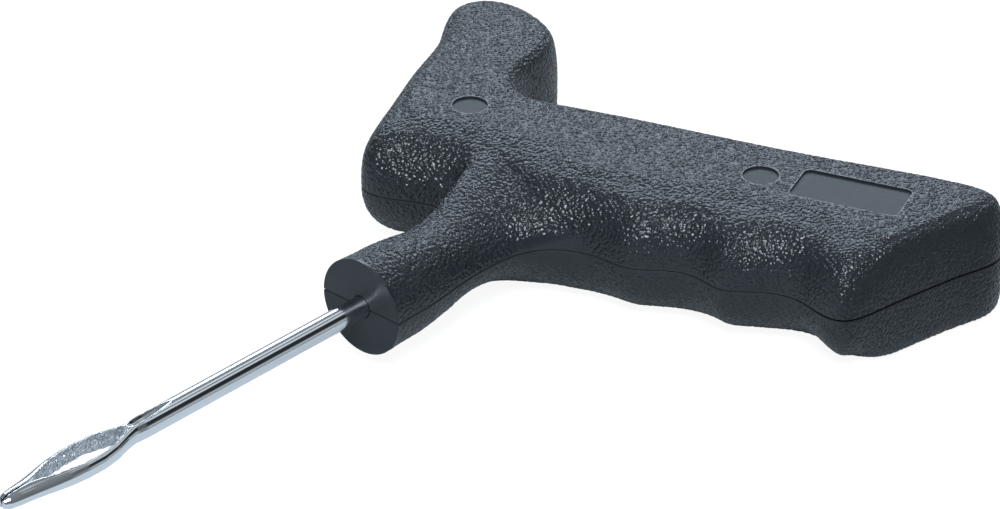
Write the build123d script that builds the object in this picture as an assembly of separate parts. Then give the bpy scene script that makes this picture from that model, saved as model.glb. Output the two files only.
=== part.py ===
from build123d import *
import math
import os

# Tyre plug insertion tool: a steel needle with a split eye, clamped in a pistol-grip handle
# that is moulded as two half shells and held by two screws.
#
# Frame: the origin is the centre of the neck's front face, on the needle's axis.
# +X runs along the needle to its tip, +Y along the grip to the butt, and +Z is square to the
# plane where the two shells meet. The tool lies on the flat side of its lower shell.
# All sizes are in millimetres.

# ---------------------------------------------------------------- driving dimensions
HALF_THICKNESS = 14.2        # from the parting plane to each flat side face
WALL = 2.8                   # moulded wall
RIM_GAP = 0.06               # each rim stops this far short of the parting plane
RIB = 2.0                    # thickness of the inner ribs
FIT = 0.03                   # clearance round every clamped metal piece
ROUNDNESS = 2.8              # exponent of the rolled side: 2 is an ellipse, more is squarer
NOSE_ROUNDNESS = 2.3         # the nose of the head is rounder
NOSE_PLACE = (-38.0, -30.0)
NOSE_REACH = 27.0            # the roundness changes over this distance from the nose
ROLL_ANGLES = (0, 22, 45, 68, 90)

NECK_FACE_RADIUS = 11.0
NECK_WAIST_RADIUS = 9.3
NECK_WAIST_X = -27.0
NECK_END_X = -58.0           # the neck's cylinder ends inside the head
NECK_END_RADIUS = 10.6
ROOT_START_X = -18.0         # the neck's top and underside sweep out to the side faces
ROOT_END_X = -51.0
ROOT_WIDTH = 9.1             # half width of the sweep, inside the neck's own sides
ROOT_START_HEIGHT = 9.1
ROOT_SWEEP = 130.0           # more makes a longer, gentler sweep
ROOT_STATIONS = 7

SHANK_RADIUS = 2.5
NEEDLE_TIP_X = 102.3
NEEDLE_TAIL_X = -56.0
PIN_X = -50.0
PIN_RADIUS = 2.0
PIN_BORE_RADIUS = 1.2
PIN_LENGTH = 18.0
PIN_SLOT = 0.6
CRADLE_END_X = -60.0         # back of the wall that takes the needle's push
CRADLE_START_X = -44.0
CRADLE_SIDE_Y = 6.5          # the ribs that hold the pin run beside the needle
SADDLE_WIDTH = 26.0
SADDLE_PLACES = [-13.0, -24.0, -35.0, CRADLE_START_X - RIB / 2]

EYE_START_X = 67.8
EYE_END_X = 91.2
EYE_WIDTH = 6.4
SLIT_WIDTH = 0.5
SLIT_OVERLAP = 1.5
LEAD_IN_START_X = 56.0       # where the groove that leads into the eye starts
LEAD_IN_DEPTH = 1.2
LEAD_IN_HALF_WIDTH = 1.1
LEAD_IN_OVERLAP = 3.0        # the groove runs this far into the eye
CLEAR = 0.6                  # cutters stand this far out of the metal
SPEAR_START_X = 58.0
CUTTER_HEIGHT = 10.0         # more than any thickness of the needle

SCREW_PLACES = [(-62.3, -26.1), (-81.5, 42.0)]
SCREW_RADIUS = 1.75
SCREW_CORE_RADIUS = 1.3
SCREW_PITCH = 1.3
SCREW_HEAD_RADIUS = 3.4
SCREW_HEAD_HEIGHT = 2.4
SCREW_SEAT_Z = -7.0
SCREW_TIP_Z = 9.0
SCREW_WELL_RADIUS = 4.0
DRIVE_LENGTH = 4.2           # arms of the cross recess in the screw's head
DRIVE_WIDTH = 0.9
DRIVE_DEPTH = 2.8            # half of it above the head's face
BOSS_RADIUS = 5.2

MARK_RADIUS = 4.0            # round recesses over the screw bosses, on the upper side
RECESS_DEPTH = 0.45
LABEL_CENTRE = (-88.8, 61.1)
LABEL_LENGTH = 24.6
LABEL_WIDTH = 12.0
LABEL_CORNER = 1.6
LABEL_TURN = 109.2           # degrees from +X to the label's long side

# Stiffening ribs: x, y, degrees from +X and length; each runs out into the shell's walls
STIFFENERS = [(-71, 14, 20, 60), (-79, 30, 20, 60), (-90, 60, 20, 60), (-74, -40, 65, 40)]

PEG_PLACES = [(-97.0, -50.0), (-99.0, 73.0)]
PEG_RADIUS = 1.6
PEG_LENGTH = 4.0
PEG_POST_RADIUS = 4.0

SLAB_MIDDLE = (-60, 10)      # a slab this wide and long holds all of the handle
SLAB_SIZE = (200, 240)

# The handle's side view: the edge where the shells meet, from the neck along the finger side
# to the butt, up the back, round the tail and the nose and back to the neck.
# Each row is x, y on this edge, then x, y of the place across from it where the rolled side
# runs out into the flat side face.
OUTLINE = [
    (-44.6, 2.0, -61.6, 2.5),   # under the neck
    (-46.0, 14.0, -64.6, 12.5),   # first finger's hollow
    (-49.4, 23.5, -68.6, 21.5),
    (-50.3, 31.8, -72.8, 30.0),   # first ridge
    (-54.4, 37.4, -76.2, 36.2),
    (-57.3, 45.0, -79.5, 43.0),   # second finger's groove
    (-56.8, 52.0, -81.6, 49.8),   # second ridge
    (-61.0, 58.0, -83.2, 56.5),
    (-64.6, 66.5, -84.0, 64.0),   # third finger's groove
    (-63.3, 74.0, -83.4, 71.0),
    (-64.2, 79.4, -82.4, 75.4),   # lower corner of the butt
    (-69.0, 81.5, -81.0, 78.4),
    (-77.0, 82.7, -85.0, 79.6),
    (-87.0, 84.4, -90.9, 80.9),
    (-98.0, 86.7, -98.9, 82.5),
    (-107.0, 88.2, -104.4, 83.2),   # back corner of the butt
    (-112.0, 85.4, -107.6, 80.8),
    (-112.2, 78.6, -107.6, 76.4),
    (-108.8, 67.8, -104.8, 66.8),
    (-100.3, 46.9, -96.5, 45.5),   # back of the grip
    (-90.7, 19.9, -86.9, 18.5),
    (-83.2, -1.5, -79.4, -2.9),
    (-78.3, -13.5, -74.7, -15.5),
    (-76.8, -20.2, -73.6, -20.4),   # web between the grip and the tail
    (-79.4, -26.0, -76.8, -28.0),
    (-86.2, -29.2, -84.8, -32.0),
    (-94.8, -31.0, -94.0, -33.8),
    (-102.2, -35.6, -100.2, -38.0),
    (-106.7, -44.0, -103.0, -45.2),   # end of the tail
    (-108.0, -53.2, -103.4, -52.6),
    (-105.4, -60.7, -101.6, -56.8),
    (-98.8, -64.2, -97.6, -58.8),
    (-91.0, -61.8, -92.6, -56.8),
    (-82.6, -56.0, -84.2, -51.6),
    (-68.2, -49.9, -70.0, -45.6),   # top of the head
    (-53.6, -43.8, -55.8, -38.4),
    (-42.8, -39.4, -48.6, -33.4),
    (-36.2, -34.2, -51.6, -27.6),   # nose
    (-37.2, -27.6, -55.6, -21.4),
    (-40.8, -20.4, -58.4, -14.4),
    (-43.4, -10.0, -60.4, -6.0),
]


# ---------------------------------------------------------------- the handle's outer form
def roundness_at(x, y):
    """Exponent of the rolled side at one place of the rim."""
    share = max(0.0, 1.0 - math.dist((x, y), NOSE_PLACE) / NOSE_REACH)
    share = share * share * (3.0 - 2.0 * share)
    return ROUNDNESS + (NOSE_ROUNDNESS - ROUNDNESS) * share


def section(angle, height, wall):
    """One closed level of the rolled side: angle 0 is the rim, 90 the flat side face."""
    rise = math.sin(math.radians(angle)) ** (2.0 / ROUNDNESS)
    points = []
    for rim_x, rim_y, face_x, face_y in OUTLINE:
        exponent = roundness_at(rim_x, rim_y)
        inset = 1.0 - max(0.0, 1.0 - rise ** exponent) ** (1.0 / exponent)
        roll = Vector(face_x - rim_x, face_y - rim_y)
        step = roll * inset + roll.normalized() * wall
        points.append(Vector(rim_x, rim_y, rise * height) + step)
    return Wire([Edge.make_spline(points, periodic=True)])


def half_body(height, wall=0.0):
    """Upper half of the handle without its neck, drawn in by the given wall."""
    levels = [section(angle, height, wall) for angle in ROLL_ANGLES]
    return Solid.make_loft(levels)


def neck(radius_change=0.0, start_x=0.0):
    """The round neck as a solid of revolution about the needle's axis."""
    profile = [
        (start_x, NECK_FACE_RADIUS - radius_change),
        (NECK_WAIST_X, NECK_WAIST_RADIUS - radius_change),
        (NECK_END_X, NECK_END_RADIUS - radius_change),
    ]
    with BuildPart() as part:
        with BuildSketch(Plane.XY):
            with BuildLine():
                Spline(*profile)
                Line(profile[-1], (NECK_END_X, 0))
                Line((NECK_END_X, 0), (start_x, 0))
                Line((start_x, 0), profile[0])
            make_face()
        revolve(axis=Axis.X)
    return part.part


def neck_root(wall=0.0):
    """The neck's top and underside, deepening in a sweep that ends in the side faces."""
    levels = []
    for station in range(ROOT_STATIONS):
        run = (ROOT_START_X - ROOT_END_X) * station / (ROOT_STATIONS - 1)
        half_height = ROOT_START_HEIGHT + run * run / ROOT_SWEEP - wall
        plane = Plane(origin=(ROOT_START_X - run, 0, 0), x_dir=(0, 1, 0), z_dir=(1, 0, 0))
        levels.append((plane * Ellipse(ROOT_WIDTH - wall, half_height)).wire())
    return Solid.make_loft(levels) & slab(0, HALF_THICKNESS - wall)


def slab(z_low, z_high):
    """A slab that holds all of the handle between two heights."""
    return Pos(*SLAB_MIDDLE, (z_low + z_high) / 2) * Box(*SLAB_SIZE, z_high - z_low)


def cylinder_z(x, y, radius, z_low, z_high):
    return Pos(x, y, (z_low + z_high) / 2) * Cylinder(radius, z_high - z_low)


def cylinder_x(radius, x_low, x_high):
    return Pos((x_low + x_high) / 2, 0, 0) * Rot(0, 90, 0) * Cylinder(radius, x_high - x_low)


def cylinder_y(x, radius, length):
    return Pos(x, 0, 0) * Rot(90, 0, 0) * Cylinder(radius, length)


# ---------------------------------------------------------------- what both shells hold
def inner_structure():
    """Ribs, screw bosses, peg posts and the needle's cradle, before the cavity trims them."""
    height = HALF_THICKNESS
    middle = height / 2
    pieces = []
    for x in SADDLE_PLACES:
        pieces.append(Pos(x, 0, middle) * Box(RIB, SADDLE_WIDTH, height))
    thrust_wall = NEEDLE_TAIL_X - CRADLE_END_X
    pieces.append(Pos(CRADLE_END_X + thrust_wall / 2, 0, middle)
                  * Box(thrust_wall, 2 * CRADLE_SIDE_Y + RIB, height))
    for y in (-CRADLE_SIDE_Y, CRADLE_SIDE_Y):
        pieces.append(Pos((CRADLE_START_X + CRADLE_END_X) / 2, y, middle)
                      * Box(CRADLE_START_X - CRADLE_END_X, RIB, height))
    for x, y in SCREW_PLACES:
        pieces.append(cylinder_z(x, y, BOSS_RADIUS, 0, height))
    for x, y in PEG_PLACES:
        pieces.append(cylinder_z(x, y, PEG_POST_RADIUS, 0, height))
    for x, y, turn, length in STIFFENERS:
        pieces.append(Pos(x, y, middle) * Rot(0, 0, turn) * Box(length, RIB, height))
    return pieces


def solid_half():
    """Upper half of the handle with all its inner detail that both shells share."""
    form = half_body(HALF_THICKNESS) + (neck() & slab(0, HALF_THICKNESS)) + neck_root()
    hollow = half_body(HALF_THICKNESS - WALL, WALL)
    hollow = hollow + (neck(WALL, -WALL) & slab(0, HALF_THICKNESS)) + neck_root(WALL)
    for piece in inner_structure():
        hollow = hollow - piece
    half = form - hollow
    half = half - slab(-1, RIM_GAP)
    half = half - cylinder_x(SHANK_RADIUS + FIT, NEEDLE_TAIL_X - FIT, 1)
    half = half - cylinder_y(PIN_X, PIN_RADIUS + FIT, PIN_LENGTH + 2 * FIT)
    return half


# ---------------------------------------------------------------- the pieces
def upper_shell(half):
    shell = half
    top = HALF_THICKNESS
    for x, y in SCREW_PLACES:
        shell = shell - cylinder_z(x, y, SCREW_RADIUS + FIT, -1, SCREW_TIP_Z + 1)
        shell = shell - cylinder_z(x, y, MARK_RADIUS, top - RECESS_DEPTH, top + 1)
    label = Pos(*LABEL_CENTRE, top - RECESS_DEPTH) * Rot(0, 0, LABEL_TURN)
    shell = shell - label * extrude(RectangleRounded(LABEL_LENGTH, LABEL_WIDTH, LABEL_CORNER), 2)
    for x, y in PEG_PLACES:
        shell = shell + cylinder_z(x, y, PEG_RADIUS, -PEG_LENGTH, 1)
    return shell


def lower_shell(half):
    shell = mirror(half, about=Plane.XY)
    for x, y in SCREW_PLACES:
        shell = shell - cylinder_z(x, y, SCREW_RADIUS + FIT, -HALF_THICKNESS, 1)
        shell = shell - cylinder_z(x, y, SCREW_WELL_RADIUS, -HALF_THICKNESS - 1, SCREW_SEAT_Z)
    for x, y in PEG_PLACES:
        shell = shell - cylinder_z(x, y, PEG_RADIUS + 2 * FIT, -PEG_LENGTH - 0.5, 1)
    return shell


def spear():
    """The flattened end of the needle: ellipses of x, half width in Y and half height in Z."""
    stations = [
        (SPEAR_START_X, SHANK_RADIUS, SHANK_RADIUS), (64.0, 2.55, 2.45), (69.0, 3.1, 2.3), (74.0, 4.2, 2.05),
        (79.5, 4.7, 1.95), (85.0, 4.5, 1.9), (90.0, 3.6, 1.85), (95.0, 2.75, 1.75), (99.5, 1.95, 1.45),
        (NEEDLE_TIP_X, 0.8, 0.8),
    ]
    levels = []
    for x, half_width, half_height in stations:
        plane = Plane(origin=(x, 0, 0), x_dir=(0, 1, 0), z_dir=(1, 0, 0))
        levels.append((plane * Ellipse(half_width, half_height)).wire())
    return Solid.make_loft(levels)


def eye_cutter():
    """The eye: a slot through the spear, pointed at both ends and widest in the middle."""
    middle = (EYE_START_X + EYE_END_X) / 2
    with BuildPart() as part:
        with BuildSketch(Plane.XY.offset(-CUTTER_HEIGHT / 2)):
            with BuildLine():
                ThreePointArc((EYE_START_X, 0), (middle, EYE_WIDTH / 2), (EYE_END_X, 0))
                ThreePointArc((EYE_END_X, 0), (middle, -EYE_WIDTH / 2), (EYE_START_X, 0))
            make_face()
        extrude(amount=CUTTER_HEIGHT)
    return part.part


def lead_in_cutter(side):
    """A vee groove that deepens from the shank into the eye, on the +Z or the -Z side."""
    outer = SHANK_RADIUS + CLEAR
    start = Plane(origin=(LEAD_IN_START_X, 0, 0), x_dir=(0, 1, 0), z_dir=(1, 0, 0))
    end = Plane(origin=(EYE_START_X + LEAD_IN_OVERLAP, 0, 0), x_dir=(0, 1, 0), z_dir=(1, 0, 0))
    wires = []
    for plane, depth in ((start, 0.0), (end, LEAD_IN_DEPTH)):
        bottom = SHANK_RADIUS - depth
        corners = [
            (0, side * bottom),
            (LEAD_IN_HALF_WIDTH, side * outer),
            (-LEAD_IN_HALF_WIDTH, side * outer),
        ]
        wires.append((plane * Polygon(*corners, align=None)).wire())
    return Solid.make_loft(wires)


def needle():
    body = cylinder_x(SHANK_RADIUS, NEEDLE_TAIL_X, SPEAR_START_X) + spear()
    body = body - eye_cutter()
    body = body - lead_in_cutter(1) - lead_in_cutter(-1)
    slit_start = EYE_END_X - SLIT_OVERLAP
    slit_length = NEEDLE_TIP_X + SLIT_OVERLAP - slit_start
    body = body - Pos(slit_start + slit_length / 2, 0, 0) * Box(slit_length, SLIT_WIDTH, CUTTER_HEIGHT)
    body = body - cylinder_y(PIN_X, PIN_RADIUS + FIT, CUTTER_HEIGHT)
    return body


def anchor_pin():
    """A split spring pin, pressed across the needle's tail and lying in both shells."""
    tube = cylinder_y(PIN_X, PIN_RADIUS, PIN_LENGTH)
    tube = tube - cylinder_y(PIN_X, PIN_BORE_RADIUS, 2 * PIN_LENGTH)
    slot = Pos(PIN_X, 0, PIN_RADIUS) * Box(PIN_SLOT, 2 * PIN_LENGTH, 2 * PIN_RADIUS)
    return tube - slot


def screw(x, y):
    """A pan-head screw with a sharp tip; its thread is drawn as separate rings."""
    head_z = SCREW_SEAT_Z - SCREW_HEAD_HEIGHT
    profile = [(0, head_z), (SCREW_HEAD_RADIUS - 0.8, head_z), (SCREW_HEAD_RADIUS, head_z + 0.9),
               (SCREW_HEAD_RADIUS, SCREW_SEAT_Z), (SCREW_CORE_RADIUS, SCREW_SEAT_Z)]
    thread_start = SCREW_SEAT_Z + 3 * SCREW_PITCH
    thread_end = SCREW_TIP_Z - 2 * SCREW_PITCH
    for turn in range(int((thread_end - thread_start) / SCREW_PITCH) + 1):
        z = thread_start + turn * SCREW_PITCH
        profile.append((SCREW_CORE_RADIUS, z))
        profile.append((SCREW_RADIUS, z + SCREW_PITCH / 4))
        profile.append((SCREW_CORE_RADIUS, z + SCREW_PITCH / 2))
    profile.append((SCREW_CORE_RADIUS, SCREW_TIP_Z - 2))
    profile.append((0, SCREW_TIP_Z))
    body = revolve(Plane.XZ * Polygon(*profile, align=None), axis=Axis.Z)
    cross = Box(DRIVE_LENGTH, DRIVE_WIDTH, DRIVE_DEPTH) + Box(DRIVE_WIDTH, DRIVE_LENGTH, DRIVE_DEPTH)
    body = body - Pos(0, 0, head_z) * cross
    return Pos(x, y, 0) * body


def main():
    half = solid_half()
    screws = Compound(children=[screw(x, y) for x, y in SCREW_PLACES])
    nodes = {
        "upper_shell": upper_shell(half),
        "lower_shell": lower_shell(half),
        "needle": needle(),
        "anchor_pin": anchor_pin(),
        "shell_screws": screws,
    }
    os.makedirs("parts", exist_ok=True)
    for name, shape in nodes.items():
        export_step(shape, f"parts/{name}.step")


main()
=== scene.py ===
import math

import bmesh
import bpy
import numpy as np
from mathutils import Matrix, Vector


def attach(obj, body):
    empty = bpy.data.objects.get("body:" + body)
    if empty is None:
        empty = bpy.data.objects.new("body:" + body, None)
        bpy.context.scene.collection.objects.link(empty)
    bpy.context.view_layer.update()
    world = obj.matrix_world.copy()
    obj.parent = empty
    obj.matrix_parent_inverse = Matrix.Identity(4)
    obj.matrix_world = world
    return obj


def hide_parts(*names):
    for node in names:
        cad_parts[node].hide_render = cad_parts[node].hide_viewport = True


# Tyre plug insertion tool. The handle's outlines, levels and recesses are read from the CAD
# frame, and the other sizes are named values. The script works in millimetres in the frame's own
# axes and turns to metres when a mesh is handed to Blender.
# The two handle shells and the needle are rebuilt as smooth, fine meshes that stand for their
# CAD nodes. The pin and the screws stay as CAD nodes and get a better material.

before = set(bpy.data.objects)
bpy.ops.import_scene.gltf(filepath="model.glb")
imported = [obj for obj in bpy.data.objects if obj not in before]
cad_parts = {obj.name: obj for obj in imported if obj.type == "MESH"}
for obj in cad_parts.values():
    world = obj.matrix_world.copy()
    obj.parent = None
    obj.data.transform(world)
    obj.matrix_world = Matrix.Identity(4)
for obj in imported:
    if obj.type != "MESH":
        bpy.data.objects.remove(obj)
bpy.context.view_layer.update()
MM = 0.001

# ---------------------------------------------------------------- named values, millimetres
HANDLE_STEP = 0.52    # grid step of the handle's surface
PLAN_STEP = 0.5                              # grid step of the side view
CAVITY_STEP = 1.4                            # grid step of the hollow inside
NECK_HALF_WIDTH = 12.0                       # the CAD outline is the neck's within this of the
NECK_START_X = -43.2                         # axis and in front of this, and the body's elsewhere
NECK_END_X = -47.0                           # the neck's field ends in a rounded tail here
ROUNDNESS = 2.8                              # exponent of the rolled side, upper shell
ROUNDNESS_BELOW = 2.7                        # and lower shell
NOSE_ROUNDNESS = 3.3                         # the nose of the head is squarer above
NOSE_ROUNDNESS_BELOW = 2.05                  # and rounder in the lower shell
ROUNDNESS_BY_NECK = 2.2                      # the upper shell is rounder on both sides of the neck
BY_NECK_START_Y = (-36.0, -27.0)             # this begins and ends gradually
BY_NECK_END_Y = (14.0, 26.0)
BY_NECK_START_X = (-68.0, -60.0)
NOSE_PLACE = (-38.0, -30.0)                  # the nose is within its reach of this place
NOSE_REACH = 27.0
FACE_DEPTH = 0.02                            # where the flat face's outline is read,
FACE_INSET = 1.2                             # and how much smaller the flat itself is
INSET_MORE = 3.4                             # it ends earlier still between nose and neck,
INSET_PLACE = (-46.0, -16.0)                 # about this place
INSET_REACH = 30.0
BUTT_ROUNDNESS_BELOW = 6.0                   # the lower shell is squarer along the butt's end
BUTT_START_Y = (72.0, 80.0)
BUTT_START_DEPTH = (70.0, 80.0)              # behind the neck's face
CORNER_ROUNDER = 0.7                         # and rounder at its corner with the finger side,
CORNER_PLACE = (-68.0, 68.0)                 # which is about here
CORNER_REACH = 8.0
ROOT_START_X = -20.0                         # the neck sweeps out to the side faces from here
ROOT_SWEEP = 290.0                           # the larger, the flatter that sweep: upper shell,
ROOT_SWEEP_BELOW = 110.0                     # and lower shell
ROOT_LEAN = 0.36                             # the sweep's ridge leans towards the nose
BARREL_FULLER = 0.6                          # the neck is this much fuller than the CAD's in front
BARREL_THINNER = 0.4                         # and this much thinner behind
BARREL_PLACES = (-11.0, -28.0)
BARREL_REACH = 7.0
RECESS_DEPTH = 0.45                          # of the circles and the label in the face
RECESS_EDGE = 0.6                            # the grain fades out this close to a recess
FILLET_SHARPER_ABOVE = 0.6                   # share that the blend loses near the upper face
FILLET_FINGER_SIDE = 10.0                    # blend of the neck into the grip
FILLET_NOSE_SIDE = 4.5                       # and into the head's nose
RIM_LEVEL = 0.3                              # where the CAD shell's outline is read
RIM_CUT = 0.34                               # height at which a shell's rim starts to bevel
RIM_BEVEL = 0.14                             # how far in the bevel goes
RIM_GAP = 0.07                               # half of the gap between the rims
BUTT_GAP = 0.28                              # the rims stand further apart at the butt,
BUTT_GAP_Y = (60.0, 84.0)                    # more and more between these places
BORE_CLEARANCE = 0.12                        # round the shank where it enters the neck
GRAIN_PITCH = 1.0                            # wavelength of the moulded leather grain
GRAIN_HEIGHT = 0.07
PEBBLES_PER_METRE = 1250.0                   # the finer pebbles on top of it, in the material
PEBBLE_HEIGHT = 0.00032                      # metres
POLISHED_PLACE = (-44.5, 14.5)               # the first finger hollow is smooth by the rim
POLISHED_REACH = (6.5, 9.0)
WALL = 2.99                                  # thickness of the hollow shells
CAVITY_END_X = -28.0                         # the neck in front of this is solid
SHANK_RADIUS = 2.5
NEEDLE_STEP_LONG = 0.25
NEEDLE_STEP_ROUND = 0.15
NEEDLE_TAIL_X = -56.0
NEEDLE_TIP_X = 102.3
NEEDLE_CRADLE = 5.2                          # half width of the plastic left round the needle
EYE_START_X = 67.8
TORN_HEIGHT = 0.17                           # unevenness of the eye's torn inner walls
PIN_X = -50.0
PIN_LENGTH = 18.1
PIN_BLOCK = 4.4                              # radius of the plastic left round the pin
PIN_BORE_RADIUS = 2.03
SCREW_BOSS = 6.2                             # radius of the plastic left round a screw
SCREW_SHANK_RADIUS = 1.85
SCREW_TOP_Z = 9.1                            # the screw's hole ends here
SCREW_SEAT_Z = -7.0                          # and its head sits here, in a well
SCREW_WELL_RADIUS = 4.0
SEED = 11


# ---------------------------------------------------------------- reading the CAD frame
def cad_triangles(node):
    """A CAD node's vertices in millimetres, merged by place, and its triangles."""
    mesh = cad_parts[node].data
    points = np.zeros(len(mesh.vertices) * 3, np.float32)
    mesh.vertices.foreach_get("co", points)
    points = points.reshape(-1, 3).astype(float) / MM
    mesh.calc_loop_triangles()
    triangles = np.zeros(len(mesh.loop_triangles) * 3, np.int32)
    mesh.loop_triangles.foreach_get("vertices", triangles)
    keys = np.round(points * 100).astype(np.int64)      # joins slivers under 0.01 mm
    _, first, index = np.unique(keys, axis=0, return_index=True, return_inverse=True)
    return points[first], index.reshape(-1)[triangles].reshape(-1, 3)


def outline_length(loop):
    return float(np.linalg.norm(loop - np.roll(loop, 1, axis=0), axis=1).sum())


def level_loops(points, triangles, height):
    """Closed outlines, longest first, of the flat faces that lie at one height."""
    flat = (np.abs(points[triangles][:, :, 2] - height) < 0.002).all(axis=1)
    edges = triangles[flat][:, [0, 1, 1, 2, 2, 0]].reshape(-1, 2)
    one_way = {(int(a), int(b)) for a, b in edges}
    following = {a: b for a, b in sorted(one_way) if (b, a) not in one_way}
    loops = []
    while following:
        start, here = following.popitem()
        loop = [start]
        while here != start and here in following:
            loop.append(here)
            here = following.pop(here)
        if len(loop) > 8:
            loops.append(points[loop][:, :2])
    return sorted(loops, key=outline_length, reverse=True)


def slice_loops(points, triangles, height):
    """Closed outlines, longest first, of the cut through the mesh at one height."""
    low = points[triangles][:, :, 2] < height
    crossing = triangles[low.any(axis=1) & ~low.all(axis=1)]
    links = {}
    places = {}
    for corners in crossing:
        ends = []
        for a, b in ((0, 1), (1, 2), (2, 0)):
            p, q = sorted((int(corners[a]), int(corners[b])))
            if (points[p, 2] < height) != (points[q, 2] < height):
                share = (height - points[p, 2]) / (points[q, 2] - points[p, 2])
                places[p, q] = points[p, :2] + share * (points[q, :2] - points[p, :2])
                ends.append((p, q))
        if len(ends) == 2 and ends[0] != ends[1]:
            links.setdefault(ends[0], []).append(ends[1])
            links.setdefault(ends[1], []).append(ends[0])
    loops = []
    unused = dict.fromkeys(sorted(links))
    while unused:
        here = next(iter(unused))
        loop = []
        while here is not None:
            unused.pop(here)
            loop.append(places[here])
            here = next((k for k in links[here] if k in unused), None)
        loops.append(np.array(loop))
    return sorted(loops, key=outline_length, reverse=True)


def outer_part(loop):
    """The outside of a shell's section, from one edge of the neck's face round to the other."""
    at_face = np.flatnonzero(loop[:, 0] > -0.01)
    first = at_face[np.argmax(loop[at_face, 1])]
    last = at_face[np.argmin(loop[at_face, 1])]
    turned = np.roll(loop, -first, axis=0)
    end = (last - first) % len(loop)
    one_way = turned[:end + 1]
    other_way = np.vstack([turned[end:], turned[:1]])
    return max(one_way, other_way, key=lambda part: np.ptp(part[:, 1]))


def flat_levels(points, triangles):
    """Heights of the flat faces, the largest area first."""
    corners = points[triangles]
    flat = np.ptp(corners[:, :, 2], axis=1) < 0.002
    sides = np.cross(corners[:, 1] - corners[:, 0], corners[:, 2] - corners[:, 0])
    areas = np.linalg.norm(sides, axis=1)[flat]
    heights = np.round(corners[flat][:, :, 2].mean(axis=1), 3)
    levels = np.unique(heights)
    total = [areas[heights == z].sum() for z in levels]
    return [float(levels[i]) for i in np.argsort(total)[::-1]]


def smooth_loop(loop, spacing, width):
    """The same closed outline, evenly spaced and with the CAD mesh's corners eased."""
    closed = np.vstack([loop, loop[:1]])
    along = np.concatenate([[0], np.cumsum(np.linalg.norm(np.diff(closed, axis=0), axis=1))])
    places = np.linspace(0, along[-1], int(along[-1] / spacing), endpoint=False)
    even = np.stack([np.interp(places, along, closed[:, i]) for i in (0, 1)], axis=1)
    reach = int(3 * width / spacing)
    weights = np.exp(-0.5 * (np.arange(-reach, reach + 1) * spacing / width) ** 2)
    weights /= weights.sum()
    return sum(w * np.roll(even, k, axis=0) for k, w in zip(range(-reach, reach + 1), weights))


def flat_outline(loop):
    """The flat face's outline, moved inwards, and more so between the nose and the neck."""
    along = np.roll(loop, -1, axis=0) - np.roll(loop, 1, axis=0)
    inward = np.stack([-along[:, 1], along[:, 0]], axis=1)
    inward /= np.linalg.norm(inward, axis=1)[:, None]
    area = (loop[:, 0] * np.roll(loop[:, 1], -1) - np.roll(loop[:, 0], -1) * loop[:, 1]).sum()
    away = np.hypot(loop[:, 0] - INSET_PLACE[0], loop[:, 1] - INSET_PLACE[1]) / INSET_REACH
    near = smooth_step(1 - away, 0, 0.35)
    return loop + np.sign(area) * (FACE_INSET + INSET_MORE * near)[:, None] * inward


def smooth_step(x, low, high):
    t = np.clip((x - low) / (high - low), 0, 1)
    return t * t * (3 - 2 * t)


cad_points, cad_faces = cad_triangles("upper_shell")
cad_levels = flat_levels(cad_points, cad_faces)
FACE_Z = cad_levels[0]                                  # the flat side face
FLOOR_Z = FACE_Z - RECESS_DEPTH                         # floor of the recesses in it
whole_rim = outer_part(slice_loops(cad_points, cad_faces, RIM_LEVEL)[0])
face_edge = slice_loops(cad_points, cad_faces, FACE_Z - FACE_DEPTH)[0]
recess_loops = level_loops(cad_points, cad_faces, FLOOR_Z)

# The neck's profile is the rim outline in front of the body; the body's outline is the rest.
on_neck = (np.abs(whole_rim[:, 1]) < NECK_HALF_WIDTH) & (whole_rim[:, 0] > NECK_START_X)
neck_side = whole_rim[on_neck & (whole_rim[:, 1] > 4.0)]
neck_side = neck_side[np.argsort(neck_side[:, 0])]
body_rim = smooth_loop(whole_rim[~on_neck], 0.8, 0.9)
face_edge = flat_outline(smooth_loop(face_edge, 0.8, 1.2))


def bell(x, middle, width):
    return np.exp(-((x - middle) / width) ** 2)


def neck_radius(x):
    """The CAD's neck, made a little barrel-shaped: fuller in front and thinner behind."""
    front, back = BARREL_PLACES
    barrel = BARREL_FULLER * bell(x, front, BARREL_REACH)
    barrel -= BARREL_THINNER * bell(x, back, BARREL_REACH)
    return np.interp(x, neck_side[:, 0], neck_side[:, 1]) + barrel


# ---------------------------------------------------------------- fields for the handle
def distance_to_loop(x, y, loop):
    """Distance from each point to a closed outline, positive inside it."""
    best = np.full(x.shape, 1e9)
    inside = np.zeros(x.shape, bool)
    for (ax, ay), (bx, by) in zip(loop, np.roll(loop, -1, axis=0)):
        dx, dy = bx - ax, by - ay
        t = np.clip(((x - ax) * dx + (y - ay) * dy) / (dx * dx + dy * dy), 0, 1)
        best = np.minimum(best, (x - ax - t * dx) ** 2 + (y - ay - t * dy) ** 2)
        if ay != by:
            crossing = ax + (y - ay) * dx / dy
            inside ^= ((ay > y) != (by > y)) & (x < crossing)
    distance = np.sqrt(best)
    return np.where(inside, distance, -distance)


def blurred(grid, step, width):
    """The grid smoothed by a bell curve of the given width in millimetres."""
    reach = max(1, int(3 * width / step))
    weights = np.exp(-0.5 * (np.arange(-reach, reach + 1) * step / width) ** 2)
    weights /= weights.sum()
    for axis in (0, 1):
        margins = [(reach, reach) if a == axis else (0, 0) for a in (0, 1)]
        padded = np.pad(grid, margins, mode="edge")
        size = grid.shape[axis]
        parts = [w * np.take(padded, range(k, k + size), axis=axis) for k, w in enumerate(weights)]
        grid = sum(parts)
    return grid


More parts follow.
